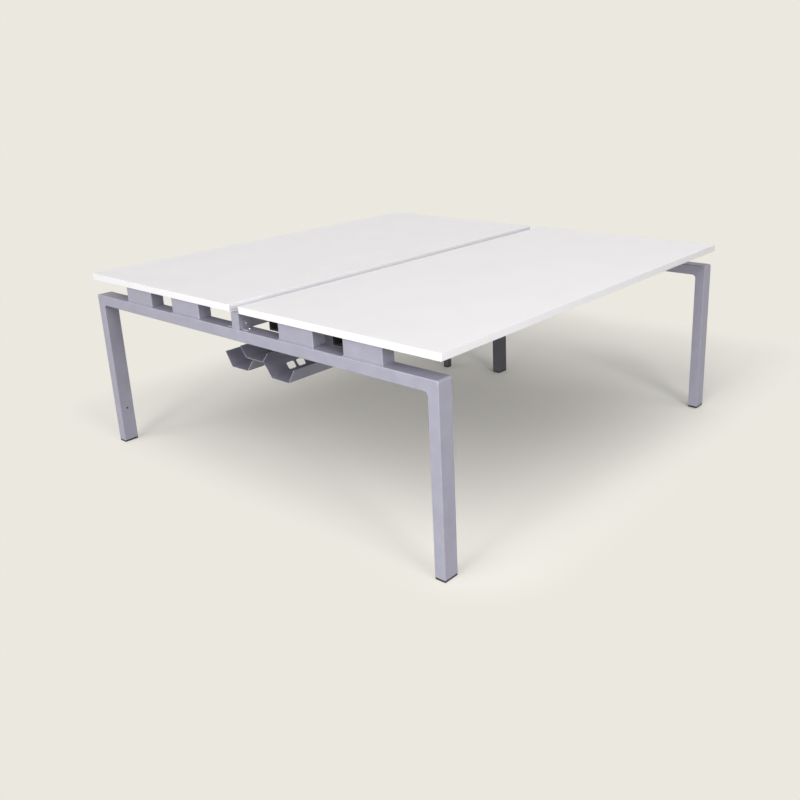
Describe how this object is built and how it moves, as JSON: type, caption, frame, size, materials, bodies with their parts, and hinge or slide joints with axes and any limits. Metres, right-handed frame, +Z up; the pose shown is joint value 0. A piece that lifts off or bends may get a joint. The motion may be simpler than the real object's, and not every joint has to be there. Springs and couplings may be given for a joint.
{
  "type": "benching desk",
  "caption": "Back-to-back bench desk: paired white worktops on silver portal end frames with stand-off blocks, a cable tray under the gap between them, and levelling feet.",
  "frame": {"origin": "on the floor under the middle of the desk", "axes": "+X along the worktops from the near end to the far end, +Y across the pair to the left worktop, +Z up"},
  "size_m": [1.8, 1.85, 0.73],
  "materials": {
    "silver_steel": "satin powder coat",
    "dark_steel": "matt powder coat",
    "black_plastic": "moulded",
    "foot_plastic": "moulded",
    "white_board": "fine-grained white melamine",
    "white_edging": "satin edging"
  },
  "bodies": {
    "desk": {"near_beam": "silver_steel", "near_right_leg": "silver_steel", "near_right_inner_standoff": "silver_steel", "near_right_outer_standoff": "silver_steel", "near_left_leg": "silver_steel", "near_left_inner_standoff": "silver_steel", "near_left_outer_standoff": "silver_steel", "far_beam": "silver_steel", "far_right_leg": "silver_steel", "far_right_inner_standoff": "silver_steel", "far_right_outer_standoff": "silver_steel", "far_left_leg": "silver_steel", "far_left_inner_standoff": "silver_steel", "far_left_outer_standoff": "silver_steel", "centre_rail": "silver_steel", "near_rail_cap": "silver_steel", "near_right_rail_bracket": "silver_steel", "near_left_rail_bracket": "silver_steel", "far_rail_cap": "silver_steel", "far_right_rail_bracket": "silver_steel", "far_left_rail_bracket": "silver_steel", "right_trough": "silver_steel", "left_trough": "silver_steel", "centre_channel": "silver_steel", "tray_hanger_1": "silver_steel", "tray_hanger_2": "silver_steel", "tray_hanger_3": "silver_steel", "right_inner_long_rail": "dark_steel", "right_outer_long_rail": "dark_steel", "left_inner_long_rail": "dark_steel", "left_outer_long_rail": "dark_steel", "tray_leg": "dark_steel", "prop_leg": "dark_steel", "prop_plate": "dark_steel", "near_right_plug": "black_plastic", "near_left_plug": "black_plastic", "far_right_plug": "black_plastic", "far_left_plug": "black_plastic", "tray_leg_plug": "black_plastic", "prop_leg_plug": "black_plastic", "right_worktop": "white_board", "left_worktop": "white_board", "right_edge_band": "white_edging", "left_edge_band": "white_edging"},
    "near_right_foot": {"near_right_foot": "foot_plastic"},
    "near_left_foot": {"near_left_foot": "foot_plastic"},
    "far_right_foot": {"far_right_foot": "foot_plastic"},
    "far_left_foot": {"far_left_foot": "foot_plastic"},
    "tray_leg_foot": {"tray_leg_foot": "foot_plastic"},
    "prop_leg_foot": {"prop_leg_foot": "foot_plastic"}
  },
  "joints": [
    {"name": "near_right_foot_level", "type": "slide", "parent": "desk", "child": "near_right_foot", "axis": [0, 0, -1], "range_m": [0, 0.012]},
    {"name": "near_left_foot_level", "type": "slide", "parent": "desk", "child": "near_left_foot", "axis": [0, 0, -1], "range_m": [0, 0.012]},
    {"name": "far_right_foot_level", "type": "slide", "parent": "desk", "child": "far_right_foot", "axis": [0, 0, -1], "range_m": [0, 0.012]},
    {"name": "far_left_foot_level", "type": "slide", "parent": "desk", "child": "far_left_foot", "axis": [0, 0, -1], "range_m": [0, 0.012]},
    {"name": "tray_leg_foot_level", "type": "slide", "parent": "desk", "child": "tray_leg_foot", "axis": [0, 0, -1], "range_m": [0, 0.012]},
    {"name": "prop_leg_foot_level", "type": "slide", "parent": "desk", "child": "prop_leg_foot", "axis": [0, 0, -1], "range_m": [0, 0.012]}
  ]
}
